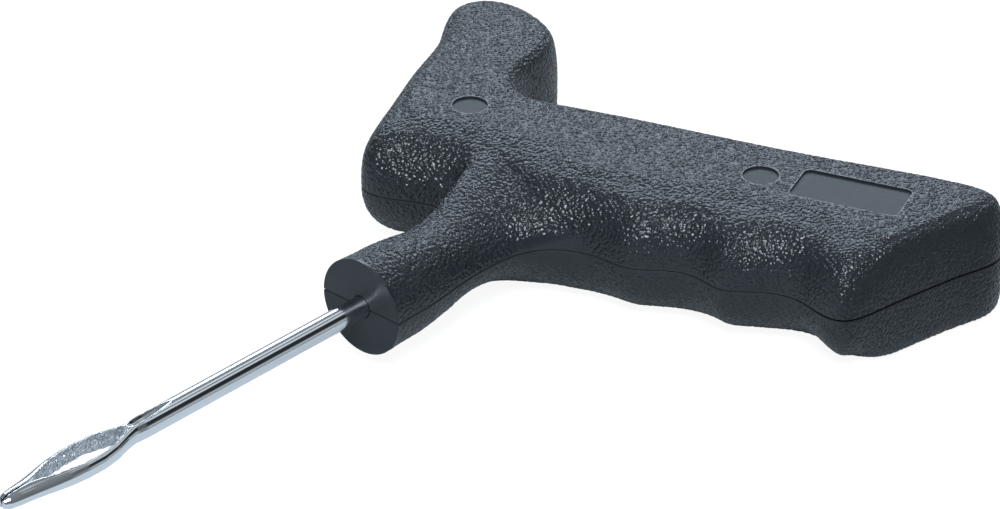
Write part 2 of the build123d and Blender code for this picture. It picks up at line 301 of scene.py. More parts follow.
class Plan:
    """How far each place in the side view is across the roll: 0 at the rim, 1 on the face."""

    def __init__(self, rim, face, step):
        self.step = step
        self.low = rim.min(axis=0) - 3.0
        counts = np.ceil((rim.max(axis=0) + 3.0 - self.low) / step).astype(int) + 1
        self.xs = self.low[0] + step * np.arange(counts[0])
        self.ys = self.low[1] + step * np.arange(counts[1])
        x, y = np.meshgrid(self.xs, self.ys, indexing="ij")
        from_rim = distance_to_loop(x, y, rim)
        to_face = np.maximum(-distance_to_loop(x, y, face), 0.0)
        share = from_rim / np.maximum(np.abs(from_rim) + to_face, 1e-6)
        outside = from_rim < 0
        share[outside] = (from_rim / np.maximum(to_face + from_rim, 1.0))[outside]
        self.share = np.clip(blurred(share, step, 0.7), -1.5, 1.0)

    def sample(self, x, y):
        """Smooth (cubic) reading of the share at any place."""
        fx = np.clip((x - self.low[0]) / self.step, 1, len(self.xs) - 3.001)
        fy = np.clip((y - self.low[1]) / self.step, 1, len(self.ys) - 3.001)
        ix, iy = fx.astype(int), fy.astype(int)
        wx, wy = cubic_weights(fx - ix), cubic_weights(fy - iy)
        total = np.zeros(x.shape)
        for i in range(4):
            row = sum(wy[j] * self.share[ix + i - 1, iy + j - 1] for j in range(4))
            total += wx[i] * row
        return total


def cubic_weights(t):
    return (
        -0.5 * t + t * t - 0.5 * t ** 3,
        1 - 2.5 * t * t + 1.5 * t ** 3,
        0.5 * t + 2 * t * t - 1.5 * t ** 3,
        -0.5 * t * t + 0.5 * t ** 3,
    )


def smooth_min(a, b, width):
    """The lower of two fields, with a rounded valley where they meet."""
    overlap = np.maximum(width - np.abs(a - b), 0) / width
    return np.minimum(a, b) - overlap ** 2 * width / 4


def handle_field(share, x, y, z):
    """Negative inside the handle; close to millimetres round the neck."""
    roll = np.maximum(1 - share, 1e-6)
    from_nose = np.hypot(x - NOSE_PLACE[0], y - NOSE_PLACE[1]) / NOSE_REACH
    below = smooth_step(-z, -1.0, 1.0)
    at_nose = NOSE_ROUNDNESS + (NOSE_ROUNDNESS_BELOW - NOSE_ROUNDNESS) * below
    exponent = ROUNDNESS + (ROUNDNESS_BELOW - ROUNDNESS) * below
    exponent += (at_nose - exponent) * smooth_step(1 - from_nose, 0, 1)
    by_neck = smooth_step(y, *BY_NECK_START_Y) * (1 - smooth_step(y, *BY_NECK_END_Y))
    by_neck = by_neck * smooth_step(x, *BY_NECK_START_X) * (1 - below)
    exponent += (ROUNDNESS_BY_NECK - exponent) * by_neck
    at_butt = smooth_step(y, *BUTT_START_Y) * smooth_step(-x, *BUTT_START_DEPTH)
    at_corner = bell(x, CORNER_PLACE[0], CORNER_REACH) * bell(y, CORNER_PLACE[1], CORNER_REACH)
    exponent += (BUTT_ROUNDNESS_BELOW - ROUNDNESS_BELOW) * below * at_butt
    exponent -= CORNER_ROUNDER * below * at_corner
    height = np.maximum(np.abs(z) / FACE_Z, 1e-6)
    body = (roll ** exponent + height ** exponent) ** (1 / exponent) - 1
    body = body * FACE_Z
    radius = neck_radius(x)
    run = np.maximum(ROOT_START_X - x, 0)
    sweep = ROOT_SWEEP + (ROOT_SWEEP_BELOW - ROOT_SWEEP) * below
    deeper = 1 + run * run / sweep / radius
    high = z / deeper
    aside = y + ROOT_LEAN * run * np.minimum((high / radius) ** 2, 1)
    behind = np.minimum(x - NECK_END_X, 0)
    neck = np.sqrt(aside * aside + high * high + behind ** 2) - radius
    width = FILLET_NOSE_SIDE + (FILLET_FINGER_SIDE - FILLET_NOSE_SIDE) * smooth_step(y, -7, 7)
    width = width * (1 - FILLET_SHARPER_ABOVE * smooth_step(z, 7.0, 12.0))
    joined = smooth_min(body, neck, width)
    rounding = 0.01 + 2.0 * smooth_step(1 - share, 0.05, 0.4)
    return -smooth_min(-joined, FACE_Z - np.abs(z), rounding)


# ---------------------------------------------------------------- turning a field into a mesh
def surface_net(field, low, step):
    """A closed quad mesh on the zero level of a 3-D grid that is negative inside."""
    step = np.asarray(step, float)
    inside = field < 0
    shape = np.array(field.shape)
    cells = shape - 1
    strides = np.array([cells[1] * cells[2], cells[2], 1])
    total = int(cells.prod())
    sums = np.zeros((total, 3))
    counts = np.zeros(total)
    quads = []
    for axis in range(3):
        others = [a for a in range(3) if a != axis]
        first = np.take(inside, range(shape[axis] - 1), axis=axis)
        second = np.take(inside, range(1, shape[axis]), axis=axis)
        start = np.argwhere(first != second)
        keep = np.all((start[:, others] > 0) & (start[:, others] < cells[others]), axis=1)
        start = start[keep]
        end = start.copy()
        end[:, axis] += 1
        f0, f1 = field[tuple(start.T)], field[tuple(end.T)]
        places = start.astype(float)
        places[:, axis] += f0 / (f0 - f1)
        corners = []
        for da, db in ((-1, -1), (0, -1), (0, 0), (-1, 0)):
            cell = start.copy()
            cell[:, others[0]] += da
            cell[:, others[1]] += db
            index = cell @ strides
            corners.append(index)
            counts += np.bincount(index, minlength=total)
            for k in range(3):
                sums[:, k] += np.bincount(index, weights=places[:, k], minlength=total)
        ring = np.stack(corners, axis=1)
        turned = (f0 < 0) != (axis == 1)
        quads.append(np.where(turned[:, None], ring, ring[:, ::-1]))
    used = np.flatnonzero(counts)
    renumber = np.full(total, -1)
    renumber[used] = np.arange(len(used))
    points = sums[used] / counts[used, None] * step + low
    return points, renumber[np.vstack(quads)]


def gradient(function, points, reach=0.02):
    """Slope of a field at each point, by central differences."""
    slopes = []
    for k in range(3):
        shift = np.zeros(3)
        shift[k] = reach
        slopes.append((function(points + shift) - function(points - shift)) / (2 * reach))
    return np.stack(slopes, axis=1)


def onto_surface(function, points, limit, rounds=3):
    """Moves points along the slope until they lie on the field's zero level."""
    for _ in range(rounds):
        slope = gradient(function, points)
        size = np.maximum((slope ** 2).sum(axis=1), 1e-9)
        move = -(function(points) / size)[:, None] * slope
        length = np.maximum(np.linalg.norm(move, axis=1), 1e-12)
        points = points + move * np.minimum(1, limit / length)[:, None]
    return points


def relaxed(points, quads, rounds):
    """Evens out the quads by moving each point towards the middle of its neighbours."""
    pairs = np.vstack([quads[:, [0, 1]], quads[:, [1, 2]], quads[:, [2, 3]], quads[:, [3, 0]]])
    both = np.vstack([pairs, pairs[:, ::-1]])
    counts = np.bincount(both[:, 0], minlength=len(points))[:, None]
    for _ in range(rounds):
        middle = np.stack(
            [np.bincount(both[:, 0], weights=points[both[:, 1], k], minlength=len(points))
             for k in range(3)], axis=1) / counts
        points = 0.5 * (points + middle)
    return points


def split_quads(points, quads):
    """Each quad becomes four: points are added on edges and in the middles."""
    edges = np.sort(np.stack([quads, np.roll(quads, -1, axis=1)], axis=2).reshape(-1, 2), axis=1)
    unique, index = np.unique(edges, axis=0, return_inverse=True)
    edge_ids = index.reshape(-1, 4) + len(points)
    face_ids = np.arange(len(quads)) + len(points) + len(unique)
    new_points = np.vstack([points, points[unique].mean(axis=1), points[quads].mean(axis=1)])
    parts = []
    for k in range(4):
        parts.append(np.stack([quads[:, k], edge_ids[:, k], face_ids, edge_ids[:, k - 1]], axis=1))
    return new_points, np.vstack(parts)


def mesh_object(name, points, faces):
    """A Blender object, in metres, from points in millimetres and faces of equal length."""
    mesh = bpy.data.meshes.new(name)
    size = faces.shape[1]
    mesh.vertices.add(len(points))
    mesh.vertices.foreach_set("co", (points * MM).astype(np.float32).ravel())
    mesh.loops.add(faces.size)
    mesh.loops.foreach_set("vertex_index", faces.astype(np.int32).ravel())
    mesh.polygons.add(len(faces))
    mesh.polygons.foreach_set("loop_start", np.arange(0, faces.size, size, dtype=np.int32))
    mesh.update(calc_edges=True)
    mesh.validate()
    obj = bpy.data.objects.new(name, mesh)
    bpy.context.scene.collection.objects.link(obj)
    return obj


# ---------------------------------------------------------------- the handle
def handle_surface():
    """Points and quads of the whole handle, both shells in one, before the grain."""
    plan = Plan(body_rim, face_edge, PLAN_STEP)

    def at(points):
        x, y, z = points.T
        return handle_field(plan.sample(x, y), x, y, z)

    step = HANDLE_STEP
    low = np.array([body_rim[:, 0].min() - 2.5, body_rim[:, 1].min() - 2.5, -FACE_Z - 1.5 * step])
    high = np.array([3.0, body_rim[:, 1].max() + 2.5, FACE_Z + 1.5 * step])
    counts = np.ceil((high - low) / step).astype(int) + 1
    axes = [low[k] + step * np.arange(counts[k]) for k in range(3)]
    x2, y2 = np.meshgrid(axes[0], axes[1], indexing="ij")
    share = plan.sample(x2, y2)
    share[x2 > body_rim[:, 0].max() + 2.0] = -1.5
    x, y, z = np.meshgrid(*axes, indexing="ij")
    field = handle_field(share[:, :, None], x, y, z)
    field[0], field[-1] = 1.0, 1.0
    points, quads = surface_net(field, low, (step,) * 3)
    for _ in range(3):
        points = relaxed(points, quads, 2)
        points = onto_surface(at, points, 0.4, rounds=2)
    points, quads = split_quads(points, quads)
    points = onto_surface(at, points, 0.2, rounds=2)
    return points, quads, at


def random_waves(points, pitch, spread, count, seed, gain=1.0, stretch=(1, 1, 1)):
    """A seeded sum of waves from every side, between -1 and 1, for a worm-like pattern.

    A wave's length is the pitch times a random number in the spread.
    """
    random = np.random.default_rng(seed)
    total = np.zeros(len(points))
    scaled = points / np.array(stretch)
    for _ in range(count):
        direction = random.normal(size=3)
        direction /= np.linalg.norm(direction)
        length = pitch * random.uniform(*spread)
        phase = random.uniform(0, 2 * math.pi)
        total += np.cos(scaled @ direction * (2 * math.pi / length) + phase)
    return np.tanh(gain * (total / math.sqrt(count / 2)))


def point_normals(points, quads):
    """Outward unit normals from the quads round each point."""
    corners = points[quads]
    across = np.cross(corners[:, 2] - corners[:, 0], corners[:, 3] - corners[:, 1])
    normals = np.zeros_like(points)
    for k in range(4):
        for c in range(3):
            normals[:, c] += np.bincount(quads[:, k], weights=across[:, c], minlength=len(points))
    return normals / np.maximum(np.linalg.norm(normals, axis=1), 1e-12)[:, None]


def grain_mask(points):
    """1 where the mould is grained; it fades at the parting line and the neck's face."""
    x, y, z = points.T
    mask = smooth_step(np.abs(z), RIM_CUT, RIM_CUT + 0.5)
    mask *= smooth_step(-x, 0.3, 1.2)
    along = (x - POLISHED_PLACE[0]) / POLISHED_REACH[0]
    across = (y - POLISHED_PLACE[1]) / POLISHED_REACH[1]
    hollow = np.exp(-(along ** 2 + across ** 2) ** 2)
    polished = hollow * (1 - smooth_step(np.abs(z), 2.6, 4.2))
    mask *= 1 - polished
    on_face = np.flatnonzero(z > FACE_Z - 0.5)
    for outline in recess_outlines:
        low, high = outline.min(axis=0) - RECESS_EDGE, outline.max(axis=0) + RECESS_EDGE
        close = on_face[((points[on_face, :2] > low) & (points[on_face, :2] < high)).all(axis=1)]
        distance = -distance_to_loop(x[close], y[close], outline)
        mask[close] *= smooth_step(distance, 0.0, RECESS_EDGE)
    return mask


def shell(name, points, quads, mask, sign):
    """One shell: the half of the surface on its side, cut, bevelled and capped at the rim."""
    obj = mesh_object(name, points, quads)
    attribute = obj.data.attributes.new("grain", "FLOAT", "POINT")
    attribute.data.foreach_set("value", mask.astype(np.float32))
    made = bmesh.new()
    made.from_mesh(obj.data)
    everything = made.verts[:] + made.edges[:] + made.faces[:]
    bmesh.ops.bisect_plane(made, geom=everything, plane_co=(0, 0, 0), plane_no=(1, 0, 0),
                           clear_outer=True, dist=1e-7)
    face_edges = [e for e in made.edges if e.is_boundary]
    filled = bmesh.ops.triangle_fill(made, edges=face_edges, use_beauty=True, normal=(1, 0, 0))
    for face in filled["geom"]:
        if isinstance(face, bmesh.types.BMFace):
            face.material_index = 1
    everything = made.verts[:] + made.edges[:] + made.faces[:]
    bmesh.ops.bisect_plane(made, geom=everything, plane_co=(0, 0, sign * RIM_CUT * MM),
                           plane_no=(0, 0, -sign), clear_outer=True, dist=1e-7)
    ring = [e for e in made.edges if e.is_boundary]
    before = set(made.faces)
    bevel_rim(made, ring, sign)
    for face in made.faces:
        if face not in before:
            face.material_index = 1
    bmesh.ops.recalc_face_normals(made, faces=made.faces[:])
    made.to_mesh(obj.data)
    made.free()
    return obj


def bevel_rim(made, ring, sign):
    """Carries the cut edge inwards and down to the rim's own level, and closes the rim."""
    inward = {}
    for edge in ring:
        along = (edge.verts[1].co - edge.verts[0].co).normalized()
        normal = Vector((-along.y, along.x, 0))
        outward = edge.link_faces[0].normal
        if normal.dot(Vector((outward.x, outward.y, 0))) > 0:
            normal = -normal
        for vert in edge.verts:
            inward[vert] = inward.get(vert, Vector()) + normal
    made_edges = bmesh.ops.extrude_edge_only(made, edges=ring)["geom"]
    new_verts = [v for v in made_edges if isinstance(v, bmesh.types.BMVert)]
    old_by_place = {tuple(v.co): n for v, n in inward.items()}
    for vert in new_verts:
        direction = old_by_place[tuple(vert.co)].normalized()
        opened = float(smooth_step(vert.co.y / MM, *BUTT_GAP_Y))
        gap = RIM_GAP + (BUTT_GAP - RIM_GAP) * opened
        vert.co += direction * (RIM_BEVEL * MM)
        vert.co.z = sign * gap * MM
    rim = [e for e in made_edges if isinstance(e, bmesh.types.BMEdge) and e.is_boundary]
    bmesh.ops.triangle_fill(made, edges=rim, use_beauty=True, normal=(0, 0, -sign))


def prism(name, loop, z_low, z_high):
    """A closed prism over an outline, used as a cutter."""
    made = bmesh.new()
    rings = [[made.verts.new((x * MM, y * MM, z * MM)) for x, y in loop] for z in (z_low, z_high)]
    middle = np.mean(loop, axis=0)
    centres = [made.verts.new((middle[0] * MM, middle[1] * MM, z * MM)) for z in (z_low, z_high)]
    for i in range(len(loop)):
        j = (i + 1) % len(loop)
        made.faces.new((centres[0], rings[0][j], rings[0][i]))
        made.faces.new((centres[1], rings[1][i], rings[1][j]))
        made.faces.new((rings[0][i], rings[0][j], rings[1][j], rings[1][i]))
    bmesh.ops.recalc_face_normals(made, faces=made.faces[:])
    for face in made.faces:
        face.material_index = 1
    mesh = bpy.data.meshes.new(name)
    made.to_mesh(mesh)
    made.free()
    obj = bpy.data.objects.new(name, mesh)
    bpy.context.scene.collection.objects.link(obj)
    return obj


def circle(x, y, radius, count=72):
    turn = [2 * math.pi * k / count for k in range(count)]
    return [(x + radius * math.cos(a), y + radius * math.sin(a)) for a in turn]


def cut(obj, cutters):
    """Takes the cutters out of obj, and leaves their material on the cut faces."""
    for cutter in cutters:
        for material in obj.data.materials:
            cutter.data.materials.append(material)
    with bpy.context.temp_override(active_object=cutters[0], selected_editable_objects=cutters,
                                   selected_objects=cutters, object=cutters[0]):
        if len(cutters) > 1:
            bpy.ops.object.join()
    joined = cutters[0]
    modifier = obj.modifiers.new("cut", "BOOLEAN")
    modifier.operation = "DIFFERENCE"
    modifier.solver = "MANIFOLD"
    modifier.object = joined
    graph = bpy.context.evaluated_depsgraph_get()
    result = bpy.data.meshes.new_from_object(obj.evaluated_get(graph))
    obj.modifiers.clear()
    obj.data = result
    bpy.data.objects.remove(joined)


def needle_bore(radius, x_low, x_high):
    """A cutter along the needle's axis."""
    obj = prism("bore", circle(0, 0, radius, 64), x_low, x_high)
    obj.data.transform(Matrix.Rotation(math.radians(90), 4, "Y"))
    return obj


def pin_pocket(radius, length):
    """A cutter across the needle, where the anchor pin lies."""
    obj = prism("pin_pocket", circle(0, 0, radius, 48), -length / 2, length / 2)
    turn = Matrix.Rotation(math.radians(90), 4, "X")
    obj.data.transform(Matrix.Translation((PIN_X * MM, 0, 0)) @ turn)
    return obj


def cavity(handle_at):
    """The hollow inside both shells; solid plastic is left round needle, pin and screws."""
    step = CAVITY_STEP
    low = np.array([body_rim[:, 0].min(), body_rim[:, 1].min(), -FACE_Z])
    high = np.array([2.0, body_rim[:, 1].max(), FACE_Z])
    counts = np.ceil((high - low) / step).astype(int) + 1
    axes = [low[k] + step * np.arange(counts[k]) for k in range(3)]
    grid = np.stack(np.meshgrid(*axes, indexing="ij"), axis=-1).reshape(-1, 3)

    def at(points):
        x, y, z = points.T
        hollow = handle_at(points) + WALL
        cradle = np.minimum(NEEDLE_CRADLE - np.abs(y), x - NEEDLE_TAIL_X + 3.0)
        pin_block = PIN_BLOCK - np.hypot(x - PIN_X, np.maximum(np.abs(y) - PIN_LENGTH / 2, 0))
        hollow = np.maximum(hollow, np.maximum(cradle, pin_block))
        hollow = np.maximum(hollow, x - CAVITY_END_X)
        for screw_x, screw_y in screw_centres:
            hollow = np.maximum(hollow, SCREW_BOSS - np.hypot(x - screw_x, y - screw_y))
        return hollow

    field = at(grid).reshape(counts)
    for axis in range(3):
        field[(slice(None),) * axis + ([0, -1],)] = 1.0
    points, quads = surface_net(field, low, (step,) * 3)
    points = onto_surface(at, relaxed(points, quads, 2), 0.5, rounds=2)
    obj = mesh_object("cavity", points, quads)
    obj.data.polygons.foreach_set("material_index", np.ones(len(quads), np.int32))
    return obj


# ---------------------------------------------------------------- the needle
# Along the needle: x, outer half width, half height, and how far the prongs stand apart.
NEEDLE_STATIONS = [
    (-60.0, 2.50, 2.50, 0.00), (56.0, 2.50, 2.50, 0.00), (60.0, 2.50, 2.50, 0.00),
    (64.4, 2.50, 2.50, 0.00), (67.0, 2.22, 2.35, 0.10), (70.0, 2.85, 2.05, 1.20),
    (74.0, 4.15, 1.95, 2.65), (78.0, 4.80, 1.90, 3.25), (82.5, 4.80, 1.90, 3.25),
    (87.0, 4.40, 1.90, 2.60), (90.0, 3.90, 1.90, 1.75), (92.5, 3.40, 1.90, 0.85),
    (95.0, 2.95, 1.88, 0.26), (98.5, 2.45, 1.76, 0.24), (101.0, 1.95, 1.50, 0.24),
    (102.2, 1.10, 0.95, 0.24), (105.0, 0.90, 0.80, 0.24),
]
# The groove that leads into the eye, on both faces: x, half width, depth.
GROOVE_STATIONS = [
    (-60.0, 0.30, -0.40), (54.2, 0.30, -0.40), (56.5, 0.60, 0.20), (59.5, 1.05, 0.75),
    (63.0, 1.35, 1.15), (66.2, 1.35, 1.25), (67.2, 0.90, 0.70), (68.2, 0.60, -0.40),
    (105.0, 0.30, -0.40),
]


def smooth_table(x, stations, column):
    """Reads a column of a station list with rounded corners between the stations."""
    places = np.array([s[0] for s in stations])
    values = np.array([s[column] for s in stations])
    width = 0.35
    return sum(np.interp(x + d * width, places, values) for d in (-1, -0.5, 0, 0.5, 1)) / 5


def needle_field(points):
    """Negative inside: a round shank that divides into two half-round prongs round an eye."""
    x, y, z = points.T
    half_width = smooth_table(x, NEEDLE_STATIONS, 1)
    half_height = smooth_table(x, NEEDLE_STATIONS, 2)
    apart = smooth_table(x, NEEDLE_STATIONS, 3)
    side = np.maximum(np.abs(y) - apart, 0) / (half_width - apart)
    outer = (np.sqrt(side ** 2 + (z / half_height) ** 2) - 1) * half_height
    outer = np.maximum(outer, x - NEEDLE_TIP_X)
    opening = smooth_step(x, EYE_START_X, EYE_START_X + 0.8) * (apart + 0.02) - np.abs(y)
    opening = np.where(x > EYE_START_X, opening, -1.0)
    groove_width = smooth_table(x, GROOVE_STATIONS, 1)
    groove_depth = smooth_table(x, GROOVE_STATIONS, 2)
    floor = half_height - groove_depth + np.maximum(groove_depth, 0.3) * (y / groove_width) ** 2
    groove = np.abs(z) - floor
    bore = PIN_BORE_RADIUS - np.sqrt((x - PIN_X) ** 2 + z ** 2)
    tail = NEEDLE_TAIL_X - x
    shape = -smooth_min(-outer, -groove, 0.18)
    shape = -smooth_min(-shape, -opening, 0.16)
    return np.maximum(np.maximum(shape, bore), tail)


def torn_share(points):
    """1 on the torn inner walls of the eye, 0 on the smooth outside."""
    x, y, z = points.T
    apart = smooth_table(x, NEEDLE_STATIONS, 3)
    near_wall = 1 - smooth_step(np.abs(y) - apart, 0.10, 0.30)
    in_eye = smooth_step(x, EYE_START_X, EYE_START_X + 1.5) * (1 - smooth_step(x, 91.5, 93.5))
    return near_wall * in_eye


def needle_mesh():
    step = np.array([NEEDLE_STEP_LONG, NEEDLE_STEP_ROUND, NEEDLE_STEP_ROUND])
    low = np.array([NEEDLE_TAIL_X - 1.1, -5.05, -3.05])
    high = np.array([NEEDLE_TIP_X + 1.1, 5.05, 3.05])
    counts = np.ceil((high - low) / step).astype(int) + 1
    axes = [low[k] + step[k] * np.arange(counts[k]) for k in range(3)]
    grid = np.stack(np.meshgrid(*axes, indexing="ij"), axis=-1).reshape(-1, 3)
    field = needle_field(grid).reshape(counts)
    points, quads = surface_net(field, low, step)
    for _ in range(3):
        points = relaxed(points, quads, 1)
        points = onto_surface(needle_field, points, 0.15, rounds=2)
    torn = torn_share(points)
    normals = point_normals(points, quads)
    spread = (0.6, 1.6)
    rough = 0.6 * random_waves(points, 1.3, spread, 30, SEED + 1, stretch=(1.4, 1, 1))
    rough += 0.4 * random_waves(points, 0.6, spread, 30, SEED + 2, stretch=(0.7, 1, 1.6))
    points = points + normals * (torn * rough * TORN_HEIGHT)[:, None]
    obj = mesh_object("needle_plated", points, quads)
    attribute = obj.data.attributes.new("torn", "FLOAT", "POINT")
    attribute.data.foreach_set("value", torn.astype(np.float32))
    return obj


# ---------------------------------------------------------------- materials
def new_material(name):
    material = bpy.data.materials.new(name)
    material.use_nodes = True
    nodes = material.node_tree.nodes
    return material, nodes, material.node_tree.links, nodes["Principled BSDF"]


def noise(nodes, links, scale, detail=3.0, stretch=(1, 1, 1)):
    """A noise pattern in metres of the piece's own axes; returns its value socket."""
    place = nodes.new("ShaderNodeTexCoord")
    mapping = nodes.new("ShaderNodeMapping")
    mapping.inputs["Scale"].default_value = stretch
    texture = nodes.new("ShaderNodeTexNoise")
    texture.inputs["Scale"].default_value = scale
    texture.inputs["Detail"].default_value = detail
    links.new(place.outputs["Object"], mapping.inputs["Vector"])
    links.new(mapping.outputs["Vector"], texture.inputs["Vector"])
    return texture.outputs["Fac"]


def mapped(nodes, links, value, low, high, value_low=0.0, value_high=1.0):
    """Turns the range from value_low to value_high into low to high, and clamps it there."""
    node = nodes.new("ShaderNodeMapRange")
    node.inputs["From Min"].default_value = value_low
    node.inputs["From Max"].default_value = value_high
    node.inputs["To Min"].default_value = low
    node.inputs["To Max"].default_value = high
    links.new(value, node.inputs["Value"])
    return node.outputs["Result"]


def mixed_colour(nodes, links, share, first, second):
    node = nodes.new("ShaderNodeMix")
    node.data_type = "RGBA"
    node.inputs["A"].default_value = first
    node.inputs["B"].default_value = second
    links.new(share, node.inputs["Factor"])
    return node.outputs["Result"]


def bump(nodes, links, value, strength, distance):
    node = nodes.new("ShaderNodeBump")
    node.inputs["Strength"].default_value = strength
    node.inputs["Distance"].default_value = distance
    links.new(value, node.inputs["Height"])
    return node.outputs["Normal"]


def pebbles(nodes, links):
    """Fine rounded pebbles of the mould's grain; none where the mesh is marked as smooth."""
    place = nodes.new("ShaderNodeTexCoord")
    cells = nodes.new("ShaderNodeTexVoronoi")
    cells.feature = "SMOOTH_F1"
    cells.inputs["Scale"].default_value = PEBBLES_PER_METRE
    cells.inputs["Smoothness"].default_value = 0.35
    cells.inputs["Randomness"].default_value = 0.9
    links.new(place.outputs["Object"], cells.inputs["Vector"])
    mask = nodes.new("ShaderNodeAttribute")
    mask.attribute_name = "grain"
    node = nodes.new("ShaderNodeBump")
    node.invert = True
    node.inputs["Distance"].default_value = PEBBLE_HEIGHT
    links.new(mask.outputs["Fac"], node.inputs["Strength"])
    links.new(cells.outputs["Distance"], node.inputs["Height"])
    return node.outputs["Normal"]


CHARCOAL_DARK = (0.012, 0.015, 0.019, 1)
CHARCOAL_LIGHT = (0.022, 0.026, 0.032, 1)
TORN_COLOUR = (0.42, 0.45, 0.49, 1)
TORN_ROUGHNESS = 0.30


def plastic(name, roughness, fine_bump, grained):
    """Moulded charcoal plastic with a fine grain of its own on top of the modelled one."""
    material, nodes, links, shader = new_material(name)
    cloudy = noise(nodes, links, 420.0)
    tint = mixed_colour(nodes, links, cloudy, CHARCOAL_DARK, CHARCOAL_LIGHT)
    links.new(tint, shader.inputs["Base Color"])
    wear = noise(nodes, links, 900.0, 2.0)
    value = mapped(nodes, links, wear, roughness - 0.06, roughness + 0.06)
    links.new(value, shader.inputs["Roughness"])
    fine = noise(nodes, links, 2600.0, 2.0)
    normal = bump(nodes, links, fine, fine_bump, 0.00003)
    if grained:
        links.new(pebbles(nodes, links), normal.node.inputs["Normal"])
    links.new(normal, shader.inputs["Normal"])
    return material


def plated(name, colour, roughness, torn):
    """Bright plating with faint lengthwise drawing marks; torn walls are matt and uneven."""
    material, nodes, links, shader = new_material(name)
    shader.inputs["Metallic"].default_value = 1.0
    shader.inputs["Base Color"].default_value = colour
    streaks = noise(nodes, links, 900.0, 2.0, (0.04, 1, 1))
    value = mapped(nodes, links, streaks, roughness * 0.6, roughness * 1.4)
    if torn:
        mask = nodes.new("ShaderNodeAttribute")
        mask.attribute_name = "torn"
        mixed = nodes.new("ShaderNodeMix")
        mixed.inputs["B"].default_value = TORN_ROUGHNESS
        links.new(mask.outputs["Fac"], mixed.inputs["Factor"])
        links.new(value, mixed.inputs["A"])
        value = mixed.outputs["Result"]
    links.new(value, shader.inputs["Roughness"])
    normal = bump(nodes, links, streaks, 0.10, 0.00002)
    if torn:
        tears = noise(nodes, links, 2400.0, 4.0, (1, 1, 0.5))
        torn_normal = bump(nodes, links, tears, 1.0, 0.0008)
        dirt = mapped(nodes, links, noise(nodes, links, 1700.0, 3.0), -1.4, 2.2)
        uneven = nodes.new("ShaderNodeMath")
        uneven.operation = "MULTIPLY"
        links.new(dirt, uneven.inputs[0])
        links.new(mask.outputs["Fac"], uneven.inputs[1])
        shade = mixed_colour(nodes, links, uneven.outputs[0], colour, TORN_COLOUR)
        links.new(shade, shader.inputs["Base Color"])
        links.new(mask.outputs["Fac"], torn_normal.node.inputs["Strength"])
        links.new(torn_normal, normal.node.inputs["Normal"])
    links.new(normal, shader.inputs["Normal"])
    return material


grained_plastic = plastic("grained_plastic", 0.27, 0.25, True)
smooth_plastic = plastic("smooth_plastic", 0.50, 0.12, False)
needle_metal = plated("plated_steel", (0.80, 0.82, 0.85, 1), 0.12, True)
pin_metal = plated("pin_steel", (0.60, 0.61, 0.63, 1), 0.30, False)
screw_metal = plated("screw_steel", (0.55, 0.54, 0.50, 1), 0.26, False)


# ---------------------------------------------------------------- building the pieces
def finish_mesh(obj, angle=40):
    mesh = obj.data
    normals = np.zeros(len(mesh.polygons) * 3, np.float32)
    mesh.polygons.foreach_get("normal", normals)
    slots = np.zeros(len(mesh.polygons), np.int32)
    mesh.polygons.foreach_get("material_index", slots)
    flat = (slots == 1) & (np.abs(normals.reshape(-1, 3)).max(axis=1) > 0.9999)
    mesh.polygons.foreach_set("use_smooth", ~flat)
    mesh.set_sharp_from_angle(angle=math.radians(angle))


def place_piece(obj, node):
    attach(obj, "root")
    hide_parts(node)


handle_points, handle_quads, handle_at = handle_surface()
handle_normals = point_normals(handle_points, handle_quads)
recess_outlines = [smooth_loop(loop, 0.3, 0.2) for loop in recess_loops[:3]]
screw_centres = [loop.mean(axis=0) for loop in recess_loops[1:3]]
handle_mask = grain_mask(handle_points)
grain = random_waves(handle_points, GRAIN_PITCH, (0.8, 1.3), 40, SEED, gain=0.9)
heights = grain * GRAIN_HEIGHT * handle_mask
grained_points = handle_points + handle_normals * heights[:, None]
for side_name, sign in (("upper", 1), ("lower", -1)):
    half = shell(side_name + "_shell_grained", grained_points, handle_quads, handle_mask, sign)
    half.data.materials.append(grained_plastic)
    half.data.materials.append(smooth_plastic)
    cut(half, [cavity(handle_at), pin_pocket(PIN_BORE_RADIUS + 0.05, PIN_LENGTH + 0.1)])
    holes = [circle(x, y, SCREW_SHANK_RADIUS) for x, y in screw_centres]
    cut(half, [prism("screw_hole", hole, SCREW_SEAT_Z - 1.0, SCREW_TOP_Z) for hole in holes])
    cutters = [needle_bore(SHANK_RADIUS + BORE_CLEARANCE, NEEDLE_TAIL_X - 0.2, 1.0)]
    if sign > 0:
        for outline in recess_outlines:
            cutters.append(prism("recess", outline, FLOOR_Z, FACE_Z + 2.0))
    else:
        for x, y in screw_centres:
            well = circle(x, y, SCREW_WELL_RADIUS)
            cutters.append(prism("well", well, -FACE_Z - 2.0, SCREW_SEAT_Z))
    cut(half, cutters)
    finish_mesh(half)
    place_piece(half, side_name + "_shell")

needle_piece = needle_mesh()
needle_piece.data.materials.append(needle_metal)
finish_mesh(needle_piece, 50)
place_piece(needle_piece, "needle")

for node, material in (("anchor_pin", pin_metal), ("shell_screws", screw_metal)):
    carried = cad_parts[node]
    carried.data.materials.clear()
    carried.data.materials.append(material)


# ---------------------------------------------------------------- floor, light and camera
CAMERA_PLACE = (0.5826, 0.5739, 0.4943)      # metres, as are the floor's places
CAMERA_TURN = 42.5                           # degrees round +Z from +X,
CAMERA_RISE = 30.5                           # and above the horizon
CAMERA_LENS = 162.0
FLOOR_SIZE = 3.0
FLOOR_DIMS = (0.088, 0.110)                  # between these places along +Y the bounce gets weaker
FLOOR_BOUNCE = (0.58, 0.60, 0.62, 1)
FLOOR_BOUNCE_DIM = (0.20, 0.21, 0.22, 1)


